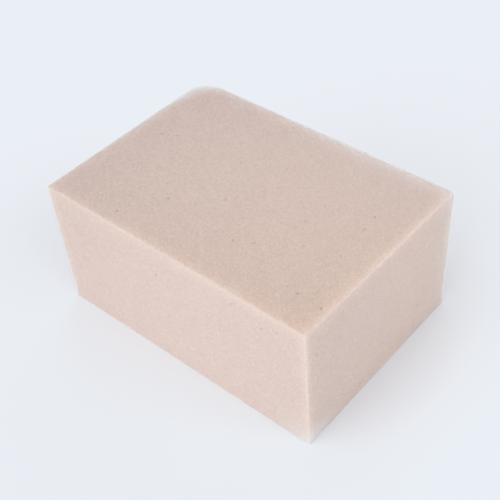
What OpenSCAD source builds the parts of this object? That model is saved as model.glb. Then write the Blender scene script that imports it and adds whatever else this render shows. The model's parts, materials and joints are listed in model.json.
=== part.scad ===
// Block of fine-cell flexible foam, sawn from one slab.
// A plain rectangular block: three of its upright edges are crisp,
// and the fourth, at the back left, is worn round.
// +X runs along the length, +Y across the width and +Z up, in millimetres.
// The origin is the middle of the underside.

/* [Block] */
// Length along X
block_l = 171.5; // [100:0.5:300]
// Width along Y
block_w = 120; // [80:0.5:200]
// Height along Z
block_h = 81.5; // [40:0.5:140]

/* [Edges] */
// Radius to which the cut has softened every crisp edge
edge_r = 0.8; // [0.3:0.1:3]
// Radius of the worn upright edge, seen from above
worn_r = 13; // [6:0.5:30]

/* [Hidden] */
// node names: one piece, cut from one slab
$fn = 96;
// how far a cutting form runs past the block
past = 2;
// middle of the worn edge's curve
worn_x = -block_l/2 + worn_r;
worn_y = block_w/2 - worn_r;

// a w by h rectangle about the origin, its corners rounded to r
module soft_rect(w, h, r) {
    square([w - 2*r, h], center = true);
    square([w, h - 2*r], center = true);
    for (sx = [-1, 1], sy = [-1, 1])
        translate([sx*(w/2 - r), sy*(h/2 - r)]) circle(r);
}

// the outline from above: three crisp corners and the worn one
module outline() {
    difference() {
        soft_rect(block_l, block_w, edge_r);
        translate([-block_l/2 - past, worn_y]) square([past + worn_r, worn_r + past]);
    }
    translate([worn_x, worn_y]) circle(worn_r);
}

// the outline, carried up the whole height
module seen_from_above() {
    linear_extrude(height = block_h) outline();
}

// the long section, with the softened top and bottom edges, carried across the width
module seen_from_front() {
    translate([0, block_w/2 + past, block_h/2]) rotate([90, 0, 0])
        linear_extrude(height = block_w + 2*past) soft_rect(block_l, block_h, edge_r);
}

// the short section, carried along the length
module seen_from_end() {
    translate([-block_l/2 - past, 0, block_h/2]) rotate([90, 0, 90])
        linear_extrude(height = block_l + 2*past) soft_rect(block_w, block_h, edge_r);
}

// everything but the worn corner, whose own rim is turned about the worn edge's middle
module rim_of_worn_edge() {
    translate([worn_x, -block_w/2 - past, -past])
        cube([block_l - worn_r + past, block_w + 2*past, block_h + 2*past]);
    translate([-block_l/2 - past, -block_w/2 - past, -past])
        cube([block_l + 2*past, block_w - worn_r + past, block_h + 2*past]);
    translate([worn_x, worn_y, 0]) rotate_extrude() {
        square([worn_r - edge_r, block_h]);
        translate([0, edge_r]) square([worn_r, block_h - 2*edge_r]);
        for (z = [edge_r, block_h - edge_r])
            translate([worn_r - edge_r, z]) circle(edge_r);
    }
}

module foam_block() {
    color([0.84, 0.76, 0.71])
    intersection() {
        seen_from_above();
        seen_from_front();
        seen_from_end();
        rim_of_worn_edge();
    }
}

foam_block();
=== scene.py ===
import json
import math
import random

import bpy
import numpy as np
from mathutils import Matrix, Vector, noise

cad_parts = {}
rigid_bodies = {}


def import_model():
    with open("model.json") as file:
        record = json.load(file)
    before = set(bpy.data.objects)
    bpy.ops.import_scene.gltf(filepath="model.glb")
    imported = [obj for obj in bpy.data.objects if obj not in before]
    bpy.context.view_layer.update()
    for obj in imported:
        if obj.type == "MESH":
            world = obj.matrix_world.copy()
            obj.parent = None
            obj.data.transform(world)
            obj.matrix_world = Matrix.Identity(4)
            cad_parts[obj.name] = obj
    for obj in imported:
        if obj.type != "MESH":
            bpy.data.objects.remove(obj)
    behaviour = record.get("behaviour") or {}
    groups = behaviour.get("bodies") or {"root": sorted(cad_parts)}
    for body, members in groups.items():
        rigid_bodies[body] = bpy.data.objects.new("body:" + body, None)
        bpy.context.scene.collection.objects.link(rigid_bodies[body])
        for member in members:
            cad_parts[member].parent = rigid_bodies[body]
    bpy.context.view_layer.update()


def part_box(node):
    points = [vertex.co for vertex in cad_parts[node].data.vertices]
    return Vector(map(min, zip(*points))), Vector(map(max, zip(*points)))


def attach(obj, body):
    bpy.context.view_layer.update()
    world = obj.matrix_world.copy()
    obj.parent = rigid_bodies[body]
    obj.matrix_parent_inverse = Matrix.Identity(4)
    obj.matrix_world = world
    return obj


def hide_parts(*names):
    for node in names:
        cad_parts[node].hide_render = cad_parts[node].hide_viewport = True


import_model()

MM = 0.001
box_lo, box_hi = (np.array(v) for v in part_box("foam_block"))
SIZE = box_hi - box_lo

# ---------------------------------------------------------------- settings
EDGE_R = 0.8 * MM      # every sawn edge is softened this much
FOOT_R = 0.12 * MM     # the bottom edge, pressed flat by the block's own weight
WORN_R = 13.0 * MM     # the worn upright edge, seen from above
WORN_RIM = 0.8 * MM    # how far its top and bottom rims have rolled over
STEP = 1.6 * MM        # spacing of the mesh on the flat faces

# How far each corner is off true square, in millimetres, by the sides it belongs to (low or high x, y, z).
OUT_OF_SQUARE = {
    (0, 0, 1): (-0.50, -0.39, 0.30), (1, 0, 1): (-0.08, -0.16, -0.06), (1, 1, 1): (0.55, 0.02, -0.12),
    (0, 1, 1): (0.45, 0.57, 0.11), (0, 0, 0): (0.56, -0.80, 0.0), (1, 0, 0): (-0.27, 0.22, 0.0),
    (1, 1, 0): (-0.20, 0.40, 0.0), (0, 1, 0): (0.30, 0.40, 0.0),
}

FLAT_TINT = (0.621, 0.501, 0.452, 1.0)   # sawn top and underside
SIDE_TINT = (0.643, 0.517, 0.467, 1.0)   # sawn upright faces, a shade paler than the flat ones: partly their different cut, partly painted light
RUBBED_TINT = (0.66, 0.665, 0.67, 1.0)    # where the worn corner has lost its colour
FOOT_HIGHLIGHT_TINT = (0.70, 0.675, 0.66, 1.0)    # painted highlight at the foot of the +X, -Y corner, where its upright edge's light broadens
PIT_SHADE_TINT = (0.46, 0.26, 0.20, 1.0)      # painted shade down inside a pinhole

scene = bpy.context.scene


# ---------------------------------------------------------------- camera
def make_camera():
    data = bpy.data.cameras.new("camera")
    data.sensor_fit = "HORIZONTAL"
    data.sensor_width = 36.0
    data.lens = 66.938
    data.clip_start = 0.02
    data.clip_end = 20.0
    data.dof.use_dof = False
    cam = bpy.data.objects.new("camera", data)
    cam.location = (0.254605, -0.261153, 0.388375)
    cam.rotation_mode = "XYZ"
    cam.rotation_euler = (0.803066, 0.068827, 0.708773)
    scene.collection.objects.link(cam)
    scene.camera = cam
    return cam


# ---------------------------------------------------------------- mesh
def axis_lines(lo, hi, first_r=EDGE_R):
    """Where the mesh lines cross one axis: close together round the softened edges, even between them."""
    turn = [1 - math.tan(math.radians(t)) for t in (45, 30, 15, 0)]
    first = [first_r * t for t in turn] + [1.25 * MM, 2.1 * MM]
    last = [EDGE_R * t for t in turn] + [1.25 * MM, 2.1 * MM]
    middle = np.linspace(lo + first[-1], hi - last[-1], int(round((hi - lo - first[-1] - last[-1]) / STEP)) + 1)[1:-1]
    return np.concatenate([lo + np.array(first), middle, (hi - np.array(last))[::-1]])


def shape(q):
    """Carries points of the plain box onto the block's true form. Returns the places and the outward normals."""
    q = np.asarray(q, float)
    low = box_lo + (EDGE_R, EDGE_R, FOOT_R)
    inner = np.clip(q, low, box_hi - EDGE_R)
    d = (q - inner) / np.where(q < low, low - box_lo, EDGE_R)
    length = np.maximum(np.linalg.norm(d, axis=1), 1e-12)
    n = d / length[:, None]
    p = inner + n * np.where(q < low, low - box_lo, EDGE_R)
    # the worn upright edge at -X, +Y
    u = box_lo[0] + WORN_R - q[:, 0]
    v = q[:, 1] - (box_hi[1] - WORN_R)
    worn = (u > 0) & (v > 0)
    if worn.any():
        u, v, z = u[worn], v[worn], q[worn, 2]
        m = np.maximum(u, v)
        along = np.stack([-u, v], 1) / np.hypot(u, v)[:, None]
        rim = EDGE_R + (WORN_RIM - EDGE_R) * np.sin(2 * np.arctan2(v, u)) ** 2
        foot = FOOT_R + (WORN_RIM - EDGE_R) * np.sin(2 * np.arctan2(v, u)) ** 2
        im = np.minimum(m, WORN_R - rim)
        iz = np.clip(z, box_lo[2] + foot, box_hi[2] - rim)
        rz = np.where(z < iz, foot, rim)
        dm, dz = (m - im) / rim, (z - iz) / rz
        ln = np.hypot(dm, dz)
        pm, pz = im + rim * dm / ln, iz + rz * dz / ln
        centre = np.array([box_lo[0] + WORN_R, box_hi[1] - WORN_R])
        p[worn] = np.column_stack([centre + along * pm[:, None], pz])
        n[worn] = np.column_stack([along * (dm / ln)[:, None], dz / ln])
    return p, n


def out_of_square(p):
    """A hand-sawn block is a little off square: each corner has its own small offset, spread evenly between them."""
    t = np.clip((p - box_lo) / SIZE, 0, 1)
    move = np.zeros_like(p)
    for corner, offset in OUT_OF_SQUARE.items():
        share = np.prod([t[:, k] if side else 1 - t[:, k] for k, side in enumerate(corner)], axis=0)
        move += share[:, None] * np.array(offset) * MM
    return p + move


def relief(p, n):
    """The sawn faces are not quite flat: a slow waver from the cut and a finer unevenness. The underside stays flat."""
    out = np.empty(len(p))
    for i, (a, b) in enumerate(zip(p, n)):
        s = Vector(a)
        slow = noise.noise(s * 26 + Vector((3.1, 7.7, 1.3)))
        fine = noise.noise(s * 320 + Vector((9.2, 0.4, 5.5)))
        out[i] = 0.10 * MM * slow + 0.035 * MM * fine
    lift = np.clip((p[:, 2] - box_lo[2]) / (4 * MM), 0, 1)
    return out * lift


def edge_bands(q):
    """How strongly each point belongs to the bands along the block's edges, from 0 to about 1."""
    (x0, y0, z0), (x1, y1, z1) = ((q - box_lo) / MM).T, ((box_hi - q) / MM).T
    x, y, z = (q / MM).T

    def step(v, lo, hi):
        t = np.clip((v - lo) / (hi - lo), 0, 1)
        return t * t * (3 - 2 * t)

    # the bands lie on the faces towards +X, -Y and up; on the other side of each edge they stop short
    lb, br, ll, rr = (np.hypot(a, 8 * b) for a, b in ((x0, z1), (y1, z1), (x0, y0), (y1, x1)))
    # painted glow of light soaking through the edges, paler, widest and strongest towards the +X +Y corner
    painted_edge_glow = [
        (0.35 + 1.45 * step(y, -50, 15)) * np.exp(-lb / 2.6) * (1 - 0.8 * np.exp(-((lb / 0.9) ** 2))),
        (1.70 - 0.20 * step(x, 10, 75)) * np.exp(-br / (3 + 3.5 * step(x, -40, 60))) * (1 - 0.8 * np.exp(-((br / 0.9) ** 2))),
        1.15 * (0.75 + 0.25 * step(z, 0, 70)) * np.exp(-rr / 9),
        0.45 * np.exp(-ll / 3),
    ]
    # and a line of painted shade beside the edges, holding back the light they gather, also on the top just behind the
    # -Y one
    edge_shade_lines = [
        0.90 * np.exp(-((lb / 1.9) ** 2)) * (0.6 + 0.4 * step(x0, 0, 1.2)),
        0.90 * np.exp(-((br / 1.9) ** 2)) * (0.6 + 0.4 * step(y1, 0, 1.2)),
        0.80 * np.exp(-((ll / 1.6) ** 2)) * step(z0, 1, 12),
        (0.62 + 0.2 * step(z, 25, 50)) * np.exp(-((rr / 1.9) ** 2)) * step(z0, 4, 22),
        0.14 * np.exp(-((y0 - 1.2) / 1.5) ** 2 - (z1 / 0.9) ** 2),
    ]
    # the three near edges, where light gathers; their highlight gets a painted warmer colour
    lit_ridge = np.minimum(np.hypot(y0, z1), np.minimum(np.hypot(x1, z1), np.hypot(x1, y0)))
    # the worn corner is rubbed almost white at its top, in a band that narrows away from it
    away = np.hypot(1.5 * x0, 0.85 * y1)
    rubbed = step(-away, -34, -10) * step(z, 77, 80.8)
    spread = 6.5 - 3.0 * step(away, 10, 30)
    # a painted highlight at the foot of the +X, -Y corner, where the light on its upright edge broadens, in a soft
    # patch on both its faces
    turned = y0 / (x1 + y0 + 0.01)
    painted_foot_highlight = np.sqrt((x1 / 10.3) ** 2 + (y0 / 14.0) ** 2 + (z0 / (8.1 + 2.0 * turned)) ** 2) ** (1.15 + 0.95 * turned)
    return {
        "painted_edge_glow": np.sqrt(sum(b * b for b in painted_edge_glow)),
        "rim": np.max(edge_shade_lines, axis=0),
        "lit_ridge": np.exp(-((lit_ridge / 0.8) ** 2)),
        "rubbed": rubbed * np.exp(-((np.minimum(x0, y1) / spread) ** 1.5)),
        "painted_foot_highlight": np.exp(-painted_foot_highlight),
    }


class Faces:
    """The six faces of the block as grids that share their border points."""

    def __init__(self):
        xs, ys, zs = (axis_lines(box_lo[k], box_hi[k], (EDGE_R, EDGE_R, FOOT_R)[k]) for k in range(3))
        self.lines = xs, ys, zs
        nx, ny, nz = len(xs), len(ys), len(zs)
        grid = lambda a, b: np.meshgrid(a, b, indexing="ij")
        faces = {}
        i, j = grid(np.arange(nx), np.arange(ny))
        faces["top"] = np.stack([i, j, np.full_like(i, nz - 1)], -1)
        faces["under"] = np.stack([i, j, np.zeros_like(i)], -1).transpose(1, 0, 2)
        i, k = grid(np.arange(nx), np.arange(nz))
        faces["front"] = np.stack([i, np.zeros_like(i), k], -1)
        faces["back"] = np.stack([i, np.full_like(i, ny - 1), k], -1).transpose(1, 0, 2)
        j, k = grid(np.arange(ny), np.arange(nz))
        faces["right"] = np.stack([np.full_like(j, nx - 1), j, k], -1)
        faces["left"] = np.stack([np.zeros_like(j), j, k], -1).transpose(1, 0, 2)
        codes = {f: (g[..., 0] * ny + g[..., 1]) * nz + g[..., 2] for f, g in faces.items()}
        every, where = np.unique(np.concatenate([c.ravel() for c in codes.values()]), return_inverse=True)
        self.ids, start = {}, 0
        for f, c in codes.items():
            self.ids[f] = where[start : start + c.size].reshape(c.shape)
            start += c.size
        i, rest = np.divmod(every, ny * nz)
        j, k = np.divmod(rest, nz)
        self.points = np.stack([xs[i], ys[j], zs[k]], 1)  # on the plain box


# Where each face lies on the flat sheet, in millimetres: its corner, then the box axes that run along u and v.
SHEET = 334.5
SHEET_AT = {
    "top": ((1.0, 1.0), 0, 1),
    "under": ((1.0, 122.5), 0, 1),
    "right": ((174.0, 1.0), 2, 1),
    "left": ((174.0, 122.5), 2, 1),
    "front": ((1.0, 244.0), 0, 2),
    "back": ((251.0, 1.0), 2, 0),
}


def sheet_uv(face, q):
    (u0, v0), au, av = SHEET_AT[face]
    gap = 0.985
    u = (q[:, au] - box_lo[au]) / MM
    v = (q[:, av] - box_lo[av]) / MM
    return np.stack([(u0 + u) / SHEET * gap, (v0 + v) / SHEET * gap], 1)


# The pinholes that stand out, by face: place in mm along the face's two axes, radius and depth in mm.
PINHOLES = {
    "top": [
        (67, -41.5, 0.58, 1.2), (81.0, -42.5, 0.47, 1.0), (39.5, -1, 0.52, 0.95), (29.5, -28, 0.45, 0.95),
        (65, 21, 0.55, 1.0), (66, 11, 0.5, 1.0), (38.5, -7, 0.38, 0.75), (68, -10.5, 0.38, 0.75),
        (70, 49, 0.44, 0.8), (-27, -29, 0.62, 1.1), (60.5, -40.5, 0.4, 0.8), (-3, -12, 0.43, 0.8),
        (50, -15.5, 0.40, 0.8), (51, 43, 0.45, 0.8), (-41.5, -51.5, 0.48, 0.8), (-36, -20.5, 0.40, 0.7),
        (2, 52.5, 0.44, 0.75), (-68.5, 8, 0.55, 0.8), (-13, 54, 0.5, 0.8),
        (10, 40.5, 0.40, 0.7), (79.5, 11.5, 0.38, 0.6), (79, -52.5, 0.30, 0.5), (7, 24, 0.46, 0.75),
        (31, 19.5, 0.4, 0.7), (20, -32.5, 0.55, 0.9), (34.5, 45, 0.33, 0.5), (73.5, -35, 0.35, 0.6),
        (-13, -24, 0.4, 0.6), (15, -54.5, 0.35, 0.6), (-16, 14.5, 0.48, 0.75), (-60.5, 11.5, 0.52, 0.8),
    ],
    "front": [(-8.7, 62.2, 0.65, 1.2), (69.5, 73, 0.6, 1.0), (42.5, 74.5, 0.48, 0.8), (60, 69, 0.55, 1.0)],
    "right": [(33, 20.5, 0.66, 1.2), (-52, 62, 0.45, 0.8), (-18, 5.7, 0.52, 0.9)],
}
FACE_AXES = {"top": (0, 1), "under": (1, 0), "front": (0, 2), "back": (2, 0), "right": (1, 2), "left": (2, 1)}
PORES = {"top": 430, "front": 170, "right": 150, "back": 200, "left": 140, "under": 60}


def pit_list():
    """Every pinhole: the ones that stand out, and the fine ones scattered between them."""
    rng = random.Random(41)
    pits = []
    for face, (au, av) in FACE_AXES.items():
        lo = np.array([box_lo[au], box_lo[av]]) / MM
        hi = np.array([box_hi[au], box_hi[av]]) / MM
        mine = [p for p in PINHOLES.get(face, [])]
        if face not in PINHOLES:
            for _ in range(6):
                mine.append((rng.uniform(lo[0] + 6, hi[0] - 6), rng.uniform(lo[1] + 6, hi[1] - 6),
                             rng.uniform(0.4, 0.65), rng.uniform(0.7, 1.2)))
        for _ in range(PORES[face]):
            r = 0.16 + 0.16 * rng.random() ** 1.6
            mine.append((rng.uniform(lo[0] + 3, hi[0] - 3), rng.uniform(lo[1] + 3, hi[1] - 3), r, r * rng.uniform(1.3, 2.0)))
        pits += [(face,) + tuple(m) for m in mine]
    return pits


def block_mesh():
    faces = Faces()
    points = [tuple(p) for p in faces.points]
    depth = [0.0] * len(points)
    # how much painted shade each point gets, down inside a pinhole
    pit_shade = [0.0] * len(points)
    polys, poly_face = [], []
    holes = {f: np.zeros((g.shape[0] - 1, g.shape[1] - 1), bool) for f, g in faces.ids.items()}
    rng = random.Random(7)
    for face, cu, cv, radius, deep in pit_list():
        au, av = FACE_AXES[face]
        ids = faces.ids[face]
        wide = 3 if radius > 0.42 else 2
        cells = []
        for axis, c in ((au, cu), (av, cv)):
            ln = faces.lines[axis]
            k = int(np.searchsorted(ln, c * MM)) - 1
            start = k - 1 if wide == 3 else (k - 1 if c * MM - ln[k] < ln[k + 1] - c * MM else k)
            cells.append(start)
        u0, v0 = cells
        if u0 < 5 or v0 < 5 or u0 + wide > ids.shape[0] - 6 or v0 + wide > ids.shape[1] - 6:
            continue
        if holes[face][u0 - 1 : u0 + wide + 1, v0 - 1 : v0 + wide + 1].any():
            continue
        holes[face][u0 : u0 + wide, v0 : v0 + wide] = True
        rim = [ids[u0 + s, v0] for s in range(wide)] + [ids[u0 + wide, v0 + s] for s in range(wide)]
        rim += [ids[u0 + wide - s, v0 + wide] for s in range(wide)] + [ids[u0, v0 + wide - s] for s in range(wide)]
        middle = np.zeros(3)
        middle[[au, av]] = cu * MM, cv * MM
        fixed = ({0, 1, 2} - {au, av}).pop()
        level = faces.points[rim[0]][fixed]
        middle[fixed] = level
        angles = [math.atan2(faces.points[k][av] - middle[av], faces.points[k][au] - middle[au]) for k in rim]
        wobble = [rng.uniform(-1, 1) for _ in range(4)]
        stretch, turn = rng.uniform(0.0, 0.28), rng.uniform(0, math.pi)
        # each ring: its size, how far down it sits, and how much painted shade it gets
        rings = ((1.35, 0.0, 0.05), (1.05, 0.06, 0.45), (0.92, 0.35, 0.85), (0.78, 0.75, 1.0), (0.40, 1.0, 1.0))
        if radius < 0.35:
            rings = ((1.35, 0.0, 0.05), (1.0, 0.10, 0.55), (0.75, 0.7, 1.0))
        before = rim
        for scale, down, tone in rings:
            ring = []
            for a in angles:
                r = radius * scale * (1 + stretch * math.cos(2 * (a - turn)) + 0.07 * (
                    wobble[0] * math.cos(3 * a) + wobble[1] * math.sin(3 * a) + wobble[2] * math.cos(4 * a) + wobble[3] * math.sin(5 * a)))
                q = middle.copy()
                q[au] += r * MM * math.cos(a)
                q[av] += r * MM * math.sin(a)
                ring.append(len(points))
                points.append(tuple(q))
                depth.append(deep * MM * down)
                pit_shade.append(tone)
            for s in range(len(rim)):
                e = (s + 1) % len(rim)
                polys.append((before[s], before[e], ring[e], ring[s]))
                poly_face.append(face)
            before = ring
        points.append(tuple(middle))
        depth.append(deep * MM * 1.04)
        pit_shade.append(1.0)
        for s in range(len(before)):
            polys.append((before[s], before[(s + 1) % len(before)], len(points) - 1))
            poly_face.append(face)
    for face, ids in faces.ids.items():
        keep = ~holes[face]
        a, b, c, d = ids[:-1, :-1][keep], ids[1:, :-1][keep], ids[1:, 1:][keep], ids[:-1, 1:][keep]
        polys += list(zip(a.tolist(), b.tolist(), c.tolist(), d.tolist()))
        poly_face += [face] * int(keep.sum())
    q = np.array(points)
    used = np.zeros(len(q), bool)
    for p in polys:
        used[list(p)] = True
    index = np.cumsum(used) - 1
    q = q[used]
    depth = np.array(depth)[used]
    pit_shade = np.array(pit_shade)[used]
    polys = [tuple(int(index[k]) for k in p) for p in polys]
    place, normal = shape(q)
    place = out_of_square(place + normal * (relief(place, normal) - depth)[:, None])
    mesh = bpy.data.meshes.new("foam_body")
    mesh.from_pydata([tuple(p) for p in place], [], polys)
    mesh.update()
    flat = np.clip((np.abs(normal[:, 2]) - 0.3) / 0.4, 0, 1)
    bands = edge_bands(q)
    for name, values in (("pinhole_shade", pit_shade), ("flat", flat), *bands.items()):
        layer = mesh.attributes.new(name, "FLOAT", "POINT")
        layer.data.foreach_set("value", np.asarray(values, np.float32))
    uv = mesh.uv_layers.new(name="OFBake")
    coords = np.empty((len(mesh.loops), 2), np.float32)
    at = {f: sheet_uv(f, q) for f in SHEET_AT}
    k = 0
    for p, f in zip(polys, poly_face):
        for s in p:
            coords[k] = at[f][s]
            k += 1
    uv.data.foreach_set("uv", coords.ravel())
    mesh.polygons.foreach_set("use_smooth", np.ones(len(mesh.polygons), bool))
    mesh.validate()
    return mesh


# ---------------------------------------------------------------- materials
class Nodes:
    """Short names for building a node tree."""

    def __init__(self, name):
        self.material = bpy.data.materials.new(name)
        self.material.use_nodes = True
        self.tree = self.material.node_tree
        self.tree.nodes.clear()

    def add(self, kind, **settings):
        node = self.tree.nodes.new(kind)
        inputs = settings.pop("inputs", {})
        for key, value in settings.items():
            setattr(node, key, value)
        for key, value in inputs.items():
            self.put(node.inputs[key], value)
        return node

    def put(self, socket, value):
        if isinstance(value, bpy.types.NodeSocket):
            self.tree.links.new(value, socket)
        else:
            socket.default_value = value

    def math(self, op, a, b=None, c=None, clamp=False):
        node = self.add("ShaderNodeMath", operation=op, use_clamp=clamp)
        for k, v in enumerate((a, b, c)):
            if v is not None:
                self.put(node.inputs[k], v)
        return node.outputs[0]

    def ramp(self, value, lo, hi, out_lo=0.0, out_hi=1.0, smooth=True):
        node = self.add("ShaderNodeMapRange", interpolation_type="SMOOTHSTEP" if smooth else "LINEAR")
        for k, v in zip(("Value", "From Min", "From Max", "To Min", "To Max"), (value, lo, hi, out_lo, out_hi)):
            self.put(node.inputs[k], v)
        return node.outputs[0]

    def mix(self, factor, a, b, blend="MIX"):
        node = self.add("ShaderNodeMix", data_type="RGBA", blend_type=blend, clamp_result=False)
        for k, v in ((0, factor), (6, a), (7, b)):
            self.put(node.inputs[k], v)
        return node.outputs[2]


def rgb(r, g, b):
    """sRGB 0-255 to a linear colour."""
    lin = [c / 255 / 12.92 if c / 255 <= 0.04045 else ((c / 255 + 0.055) / 1.055) ** 2.4 for c in (r, g, b)]
    return (*lin, 1.0)


def foam_material():
    """Open-cell foam as sawn: a fine grain of cut cells, darker pores on the flat faces in painted shade, pale specks
    on the upright ones, and painted light and shade across the faces and along the edges.
    """
    t = Nodes("open_cell_foam")
    out = t.add("ShaderNodeOutputMaterial")
    skin = t.add("ShaderNodeBsdfPrincipled")
    t.tree.links.new(skin.outputs[0], out.inputs[0])
    place = t.add("ShaderNodeTexCoord").outputs["Object"]
    mm = t.add("ShaderNodeVectorMath", operation="SCALE")
    t.put(mm.inputs[0], place)
    mm.inputs["Scale"].default_value = 1000.0
    mm = mm.outputs[0]
    flat = t.add("ShaderNodeAttribute", attribute_name="flat").outputs["Fac"]
    pinhole_shade = t.add("ShaderNodeAttribute", attribute_name="pinhole_shade").outputs["Fac"]

    # the cells lie askew to the block, so that no face runs along a layer of them
    askew = t.add("ShaderNodeVectorRotate", rotation_type="EULER_XYZ")
    t.put(askew.inputs["Vector"], mm)
    askew.inputs["Rotation"].default_value = (0.61, 0.37, 0.83)
    askew = askew.outputs[0]

    def cells(scale, offset, where=mm):
        moved = t.add("ShaderNodeVectorMath", operation="ADD")
        t.put(moved.inputs[0], where)
        moved.inputs[1].default_value = offset
        v = t.add("ShaderNodeTexVoronoi", voronoi_dimensions="3D", feature="F1")
        t.put(v.inputs["Vector"], moved.outputs[0])
        v.inputs["Scale"].default_value = scale
        tone = t.add("ShaderNodeSeparateColor")
        t.put(tone.inputs[0], v.outputs["Color"])
        return v.outputs["Distance"], tone.outputs[0], tone.outputs[1]

    def cloud(scale, offset, detail=2.0, rough=0.5):
        moved = t.add("ShaderNodeVectorMath", operation="ADD")
        t.put(moved.inputs[0], mm)
        moved.inputs[1].default_value = offset
        n = t.add("ShaderNodeTexNoise", noise_dimensions="3D")
        t.put(n.inputs["Vector"], moved.outputs[0])
        n.inputs["Scale"].default_value = scale
        n.inputs["Detail"].default_value = detail
        n.inputs["Roughness"].default_value = rough
        return t.math("SUBTRACT", n.outputs["Fac"], 0.5)

    cell, cell_tone, _ = cells(1.6, (0.0, 0.0, 0.0))
    wide, wide_tone, wide_pick = cells(0.60, (31.7, 12.9, 57.3))
    small, small_tone, small_pick = cells(0.85, (7.3, 41.9, 23.1), askew)
    grain = cloud(2.2, (5.1, 8.3, 2.7), 2.0, 0.6)
    mottle = cloud(0.16, (15.0, 3.0, 9.0), 2.0, 0.5)
    slow = cloud(0.021, (2.0, 31.0, 17.0), 1.0, 0.5)

    # cut cells: each has its own tone, and a middle that is darker on the flat faces, painted shade down in the open
    # cell, and paler on the upright ones
    tone = t.math("MULTIPLY", t.math("SUBTRACT", cell_tone, 0.5), t.ramp(flat, 0.0, 1.0, 0.135, 0.095))
    middle = t.math("MULTIPLY", t.math("SUBTRACT", cell, 0.42), t.ramp(flat, 0.0, 1.0, -0.10, 0.24))
    tone = t.math("ADD", tone, middle)
    tone = t.math("MULTIPLY_ADD", grain, t.ramp(flat, 0.0, 1.0, 0.17, 0.20), tone)
    tone = t.math("MULTIPLY_ADD", cloud(1.1, (11.9, 27.1, 3.3), 0.0, 0.5), t.ramp(flat, 0.0, 1.0, 0.0, 0.185), tone)
    tone = t.math("MULTIPLY_ADD", mottle, t.ramp(flat, 0.0, 1.0, 0.04, 0.03), tone)
    tone = t.math("MULTIPLY_ADD", slow, 0.03, tone)
    # the odd wider cell is an open pore on the flat faces, darkened with painted shade; the upright ones catch the
    # light as pale specks
    spot = t.math("MULTIPLY", t.ramp(wide, 0.10, 0.22, 1.0, 0.0), t.ramp(wide_pick, 0.50, 0.55, 0.0, 1.0))
    pore_shade = t.math("MULTIPLY", t.math("MULTIPLY", wide_tone, spot), t.math("MULTIPLY", flat, -0.09))
    glint = t.math("MULTIPLY", t.ramp(small, 0.10, 0.30, 1.0, 0.0), t.ramp(small_pick, 0.80, 0.82, 0.0, 1.0))
    speck = t.math("MULTIPLY", t.math("MULTIPLY", small_tone, glint), t.ramp(flat, 0.0, 1.0, 0.74, 0.22))
    tone = t.math("ADD", tone, t.math("ADD", pore_shade, speck))
    # painted shade: the sawn top a little darker towards its -X end and its corners, where less light falls
    axes = t.add("ShaderNodeSeparateXYZ")
    t.put(axes.inputs[0], mm)
    x, y = t.math("DIVIDE", axes.outputs[0], 85.0), t.math("DIVIDE", axes.outputs[1], 60.0)
    height = axes.outputs[2]
    top_shade = t.math("MULTIPLY_ADD", t.math("MULTIPLY", x, x), -0.040, 0.022)
    top_shade = t.math("MULTIPLY_ADD", x, 0.047, top_shade)
    top_shade = t.math("MULTIPLY_ADD", t.math("MULTIPLY", y, y), -0.034, top_shade)
    top_shade = t.math("MULTIPLY_ADD", y, -0.013, top_shade)
    tone = t.math("MULTIPLY_ADD", top_shade, flat, tone)
    # painted shade: the upright faces a little darker towards their ends, most at the top of the -X end
    side = t.math("SUBTRACT", 1.0, flat)
    side_shade = t.math("MULTIPLY", t.math("MULTIPLY", x, x), -0.037)
    side_shade = t.math("MULTIPLY_ADD", t.math("MULTIPLY", y, y), -0.017, side_shade)
    side_shade = t.math("MULTIPLY_ADD", t.math("MULTIPLY", x, height), 0.042 / 81.5, side_shade)
    tone = t.math("MULTIPLY_ADD", side_shade, side, tone)
    # painted light: the foot of the upright faces is paler, as the floor's bounce light there
    foot = t.math("EXPONENT", t.math("MULTIPLY", height, -1.0 / 1.0))
    tone = t.math("MULTIPLY_ADD", foot, t.ramp(flat, 0.0, 1.0, 0.06, 0.0), tone)
    level = t.math("ADD", tone, 1.0)

    def band(name, amounts):
        """One plus the band's strength times an amount for each channel."""
        node = t.add("ShaderNodeVectorMath", operation="MULTIPLY_ADD")
        t.put(node.inputs[0], t.add("ShaderNodeAttribute", attribute_name=name).outputs["Fac"])
        node.inputs[1].default_value = amounts
        node.inputs[2].default_value = (1.0, 1.0, 1.0)
        return node.outputs[0]

    def times(a, b):
        node = t.add("ShaderNodeVectorMath", operation="MULTIPLY")
        t.put(node.inputs[0], a)
        t.put(node.inputs[1], b)
        return node.outputs[0]

    # the upright faces take the paler tint, partly their cut and partly painted light
    colour = t.add("ShaderNodeVectorMath", operation="SCALE")
    t.put(colour.inputs[0], t.mix(flat, SIDE_TINT, FLAT_TINT))
    t.put(colour.inputs["Scale"], level)
    # painted glow along the edges: paler, with less red
    colour = times(colour.outputs[0], band("painted_edge_glow", (0.0, 0.11, 0.18)))
    # painted colour of the light: the top a shade warmer towards +X and -Y, where more light falls on it, and the
    # upright faces warmer towards +Y
    light_warmth = t.math("MULTIPLY_ADD", y, -0.3, 0.10)
    light_warmth = t.math("MULTIPLY_ADD", x, t.math("MULTIPLY_ADD", y, -0.2, 0.45), light_warmth)
    light_warmth = t.math("MULTIPLY_ADD", t.math("MULTIPLY_ADD", y, 0.4, 0.4), side, t.math("MULTIPLY", light_warmth, flat))
    light_warmth_tint = t.add("ShaderNodeVectorMath", operation="MULTIPLY_ADD", inputs={})
    t.put(light_warmth_tint.inputs[0], light_warmth)
    light_warmth_tint.inputs[1].default_value = (0.012, 0.0, -0.038)
    light_warmth_tint.inputs[2].default_value = (1.0, 1.0, 1.0)
    colour = times(colour, light_warmth_tint.outputs[0])
    rubbed = t.add("ShaderNodeAttribute", attribute_name="rubbed").outputs["Fac"]
    colour = t.mix(t.math("MULTIPLY", rubbed, 0.92), colour, RUBBED_TINT)
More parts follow.
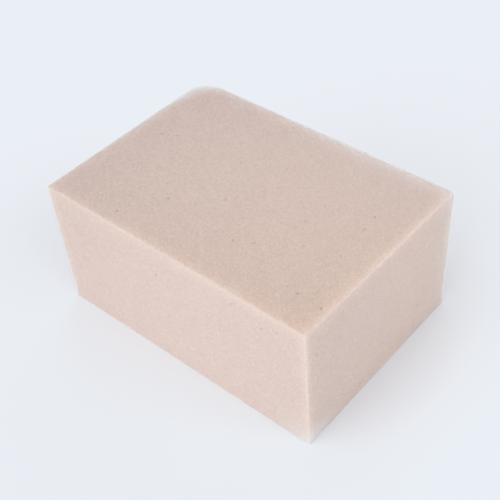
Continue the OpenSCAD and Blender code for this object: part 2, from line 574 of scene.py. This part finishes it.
    # painted highlight at the foot of the +X, -Y corner
    colour = t.mix(t.add("ShaderNodeAttribute", attribute_name="painted_foot_highlight").outputs["Fac"], colour, FOOT_HIGHLIGHT_TINT)
    # painted shade along the edges, and a painted warmer colour on the near edges' highlight
    colour = times(colour, times(band("rim", (-0.36, -0.34, -0.33)), band("lit_ridge", (-0.03, -0.07, -0.08))))
    # painted shade inside the pinholes, darkest at their bottoms
    colour = t.mix(t.math("MULTIPLY", pinhole_shade, 0.32), colour, PIT_SHADE_TINT)
    t.put(skin.inputs["Base Color"], colour)
    t.put(skin.inputs["Roughness"], t.ramp(cell, 0.1, 0.6, 0.96, 0.82))
    t.put(skin.inputs["Specular IOR Level"], 0.12)
    # light soaks through the edges, less so where the foot meets the ground
    t.put(skin.inputs["Subsurface Weight"], 1.0)
    t.put(skin.inputs["Subsurface Radius"], (1.0, 1.0, 1.0))
    t.put(skin.inputs["Subsurface Scale"], t.ramp(height, 0.0, 12.0, 0.0012, 0.012))
    bump = t.add("ShaderNodeBump")
    bump.inputs["Strength"].default_value = 0.5
    bump.inputs["Distance"].default_value = 0.00025
    rise = t.math("MULTIPLY_ADD", grain, 0.8, cell)
    t.put(bump.inputs["Height"], t.math("SUBTRACT", rise, spot))
    t.put(skin.inputs["Normal"], bump.outputs[0])
    return t.material


def floor_material():
    t = Nodes("floor")
    out = t.add("ShaderNodeOutputMaterial")
    skin = t.add("ShaderNodeBsdfPrincipled")
    t.tree.links.new(skin.outputs[0], out.inputs[0])
    t.put(skin.inputs["Base Color"], (0.85, 0.885, 0.935, 1.0))
    t.put(skin.inputs["Roughness"], 0.9)
    t.put(skin.inputs["Specular IOR Level"], 0.0)
    return t.material


# ---------------------------------------------------------------- light
# A white light tent: broad soft lobes, each as azimuth, elevation and strength.
LIGHTS = [
    (99, 10, 2.81), (279, 10, 2.76), (243, 10, 1.96), (255, 60, 1.69), (27, 32, 1.65), (-9, 32, 1.18),
    (195, 60, 0.82), (135, 10, 0.73), (-9, 10, 0.62), (135, 60, 0.44), (135, 32, 0.25),
]
# The sweep is exposed just past white, so each channel runs straight and then levels off.
PAPER = (0.823, 0.863, 0.913)


def make_studio():
    world = bpy.data.worlds.new("studio")
    world.use_nodes = True
    tree = world.node_tree
    tree.nodes.clear()
    way = tree.nodes.new("ShaderNodeTexCoord").outputs["Generated"]
    total = None
    for azimuth, elevation, strength in LIGHTS:
        a, e = math.radians(azimuth), math.radians(elevation)
        dot = tree.nodes.new("ShaderNodeVectorMath")
        dot.operation = "DOT_PRODUCT"
        tree.links.new(way, dot.inputs[0])
        dot.inputs[1].default_value = (math.cos(e) * math.cos(a), math.cos(e) * math.sin(a), math.sin(e))
        front = tree.nodes.new("ShaderNodeMath")
        front.operation = "MAXIMUM"
        front.inputs[1].default_value = 0.0
        tree.links.new(dot.outputs["Value"], front.inputs[0])
        lobe = tree.nodes.new("ShaderNodeMath")
        lobe.operation = "POWER"
        lobe.inputs[1].default_value = 10.0
        tree.links.new(front.outputs[0], lobe.inputs[0])
        add = tree.nodes.new("ShaderNodeMath")
        add.operation = "MULTIPLY_ADD"
        add.inputs[1].default_value = strength
        add.inputs[2].default_value = 0.0
        tree.links.new(lobe.outputs[0], add.inputs[0])
        if total is not None:
            tree.links.new(total, add.inputs[2])
        total = add.outputs[0]
    tent = tree.nodes.new("ShaderNodeBackground")
    tent.inputs["Color"].default_value = (1.0, 1.0, 1.0, 1.0)
    tree.links.new(total, tent.inputs["Strength"])
    paper = tree.nodes.new("ShaderNodeBackground")
    paper.inputs["Color"].default_value = (0.93, 0.97, 1.0, 1.0)
    seen = tree.nodes.new("ShaderNodeLightPath")
    mix = tree.nodes.new("ShaderNodeMixShader")
    out = tree.nodes.new("ShaderNodeOutputWorld")
    tree.links.new(seen.outputs["Is Camera Ray"], mix.inputs[0])
    tree.links.new(tent.outputs[0], mix.inputs[1])
    tree.links.new(paper.outputs[0], mix.inputs[2])
    tree.links.new(mix.outputs[0], out.inputs["Surface"])
    scene.world = world

    scene.cycles.filter_width = 1.9
    view = scene.view_settings
    view.view_transform = "Standard"
    view.look = "None"
    view.use_curve_mapping = True
    for curve, top in zip(view.curve_mapping.curves, PAPER):
        curve.points[0].location = (0.0, 0.0)
        curve.points[1].location = (1.0, top)
        for x, y in ((top - 0.05, top - 0.05), (top - 0.02, top - 0.022), (top + 0.03, top)):
            curve.points.new(x, y)
        for point in curve.points:
            point.handle_type = "VECTOR"
    view.curve_mapping.update()


# ---------------------------------------------------------------- build
make_camera()
body = bpy.data.objects.new("foam_body", block_mesh())
scene.collection.objects.link(body)
body.data.materials.append(foam_material())
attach(body, "root")
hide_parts("foam_block")

floor_mesh = bpy.data.meshes.new("floor")
half = 3.0
floor_mesh.from_pydata([(-half, -half, 0), (half, -half, 0), (half, half, 0), (-half, half, 0)], [], [(0, 1, 2, 3)])
floor = bpy.data.objects.new("floor", floor_mesh)
floor.data.materials.append(floor_material())
scene.collection.objects.link(floor)

make_studio()
